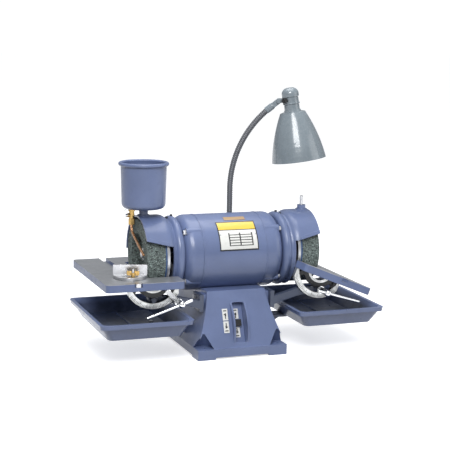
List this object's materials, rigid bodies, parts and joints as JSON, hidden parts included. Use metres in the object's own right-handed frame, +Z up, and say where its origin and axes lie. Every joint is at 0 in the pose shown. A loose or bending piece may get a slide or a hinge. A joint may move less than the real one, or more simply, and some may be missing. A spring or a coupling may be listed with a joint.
{
  "type": "bench grinder",
  "caption": "Double-ended bench tool grinder with straight-cup wheels in half guards, two tilting rests, a mitre gauge, drip pot, coolant trays and a gooseneck lamp.",
  "frame": {"origin": "centre of the base's four foot bolt holes, on the surface the grinder stands on", "axes": "+X along the shaft to the right wheel, +Y away from the operator, +Z up"},
  "size_m": [0.636, 0.308, 0.5612],
  "materials": {
    "body_paint": "satin",
    "bracket_paint": "satin",
    "machined_table": "machined",
    "dark_steel": "satin",
    "neck_covering": "satin",
    "bright_steel": "brushed",
    "bright_chrome": "polished",
    "lamination_steel": "rough",
    "copper_winding": "varnished",
    "light_alloy": "satin",
    "abrasive": "coarse",
    "backing_disc": "matte",
    "tap_brass": "satin",
    "copper_tube": "satin",
    "white_plate": "satin",
    "black_plastic": "matte",
    "lamp_paint": "gloss",
    "bulb_glass": "frosted"
  },
  "bodies": {
    "grinder_frame": {"base_casting": "body_paint", "bottom_cover": "dark_steel", "motor_shell": "body_paint", "end_bell_left": "body_paint", "end_bell_right": "body_paint", "motor_through_bolts": "bright_steel", "stator_core": "lamination_steel", "stator_windings": "copper_winding", "bearing_outer_rings": "bright_steel", "guard_left": "body_paint", "guard_right": "body_paint", "guard_screws": "dark_steel", "pot_studs": "bright_steel", "table_bracket_left": "bracket_paint", "table_bracket_right": "bracket_paint", "clamp_strap_left": "bright_steel", "tray_left": "body_paint", "tray_right": "body_paint", "tray_bracket_left": "bracket_paint", "tray_bracket_right": "bracket_paint", "tray_screws": "bright_steel", "switch_body": "black_plastic", "switch_plate": "white_plate", "direction_plate": "white_plate", "data_plate": "white_plate", "plate_rivets": "bright_steel", "start_capacitor": "dark_steel", "cable_gland": "black_plastic", "lamp_fitting": "body_paint", "gooseneck_lower": "neck_covering"},
    "rotor": {"shaft": "bright_steel", "rotor_core": "lamination_steel", "bearing_inner_rings": "bright_steel", "wheel_plate_left": "bright_steel", "wheel_plate_right": "bright_steel", "wheel_blotters": "backing_disc", "wheel_left": "abrasive", "wheel_right": "abrasive", "shaft_nuts": "bright_steel"},
    "left_table": {"table_left": "machined_table", "quadrant_left": "light_alloy"},
    "right_table": {"table_right": "machined_table", "quadrant_right": "light_alloy"},
    "left_clamp": {"clamp_screw_left": "bright_chrome"},
    "left_clamp_bar": {"clamp_bar_left": "bright_chrome"},
    "right_clamp": {"clamp_screw_right": "bright_chrome"},
    "right_clamp_bar": {"clamp_bar_right": "bright_chrome"},
    "mitre_slide_bar": {"mitre_bar": "bright_steel"},
    "mitre_fence": {"mitre_head": "bright_steel"},
    "mitre_wing_nut": {"mitre_nut": "tap_brass"},
    "coolant_pot": {"pot": "body_paint", "tap_body": "tap_brass", "drip_tube": "copper_tube"},
    "tap_lever": {"tap_handle": "bright_chrome"},
    "neck_middle": {"gooseneck_middle": "neck_covering"},
    "neck_end": {"gooseneck_upper": "neck_covering"},
    "lamp": {"lamp_shade": "lamp_paint", "lamp_bulb": "bulb_glass"},
    "lamp_switch": {"lamp_knob": "black_plastic"},
    "motor_switch": {"switch_toggle": "black_plastic"}
  },
  "joints": [
    {"name": "rotor_spin", "type": "hinge", "parent": "grinder_frame", "child": "rotor", "pos_m": [0, 0, 0.209], "axis": [1, 0, 0], "continuous": true},
    {"name": "left_table_tilt", "type": "hinge", "parent": "grinder_frame", "child": "left_table", "pos_m": [-0.19, 0, 0.176], "axis": [0, -1, 0], "range_deg": [-8, 30]},
    {"name": "right_table_tilt", "type": "hinge", "parent": "grinder_frame", "child": "right_table", "pos_m": [0.19, 0, 0.176], "axis": [0, 1, 0], "range_deg": [-30, 4]},
    {"name": "left_clamp_turn", "type": "hinge", "parent": "grinder_frame", "child": "left_clamp", "pos_m": [-0.14036, -0.137, 0.12636], "axis": [0, 1, 0], "range_deg": [-15, 20]},
    {"name": "left_clamp_bar_slide", "type": "slide", "parent": "left_clamp", "child": "left_clamp_bar", "axis": [0.9489, 0, 0.3156], "range_m": [0, 0.03]},
    {"name": "right_clamp_turn", "type": "hinge", "parent": "grinder_frame", "child": "right_clamp", "pos_m": [0.19, -0.137, 0.13], "axis": [0, -1, 0], "range_deg": [-20, 0]},
    {"name": "right_clamp_bar_slide", "type": "slide", "parent": "right_clamp", "child": "right_clamp_bar", "axis": [-0.9542, 0, 0.299], "range_m": [0, 0.008]},
    {"name": "mitre_gauge_slide", "type": "slide", "parent": "left_table", "child": "mitre_slide_bar", "axis": [0, 1, 0], "range_m": [-0.055, 0.1]},
    {"name": "mitre_fence_swivel", "type": "hinge", "parent": "mitre_slide_bar", "child": "mitre_fence", "pos_m": [-0.234, -0.076, 0.176], "axis": [0, 0, 1], "range_deg": [-30, 60]},
    {"name": "mitre_nut_turn", "type": "hinge", "parent": "mitre_slide_bar", "child": "mitre_wing_nut", "pos_m": [-0.234, -0.098, 0.186], "axis": [0, 0, 1], "range_deg": [-150, 150]},
    {"name": "pot_swivel", "type": "hinge", "parent": "grinder_frame", "child": "coolant_pot", "pos_m": [-0.183, 0, 0.3089], "axis": [0, 0, 1], "range_deg": [-25, 2]},
    {"name": "tap_lever_turn", "type": "hinge", "parent": "coolant_pot", "child": "tap_lever", "pos_m": [-0.209, 0, 0.2949], "axis": [1, 0, 0], "range_deg": [0, 90]},
    {"name": "gooseneck_lower_bend", "type": "hinge", "parent": "grinder_frame", "child": "neck_middle", "pos_m": [0.05131, 0.09346, 0.37168], "axis": [0.4226, 0.9063, 0], "range_deg": [-12, 12]},
    {"name": "gooseneck_upper_bend", "type": "hinge", "parent": "neck_middle", "child": "neck_end", "pos_m": [0.07907, 0.08051, 0.45361], "axis": [0.4226, 0.9063, 0], "range_deg": [-12, 12]},
    {"name": "lamp_tilt", "type": "hinge", "parent": "neck_end", "child": "lamp", "pos_m": [0.14412, 0.05018, 0.53036], "axis": [0.4226, 0.9063, 0], "range_deg": [-25, 12]},
    {"name": "lamp_switch_turn", "type": "hinge", "parent": "lamp", "child": "lamp_switch", "pos_m": [0.16829, 0.03891, 0.53458], "axis": [-0.8136, -0.5762, -0.0782], "range_deg": [0, 90]},
    {"name": "motor_switch_toggle", "type": "hinge", "parent": "grinder_frame", "child": "motor_switch", "pos_m": [0, -0.08774, 0.06508], "axis": [1, 0, 0], "range_deg": [-12, 12]}
  ]
}
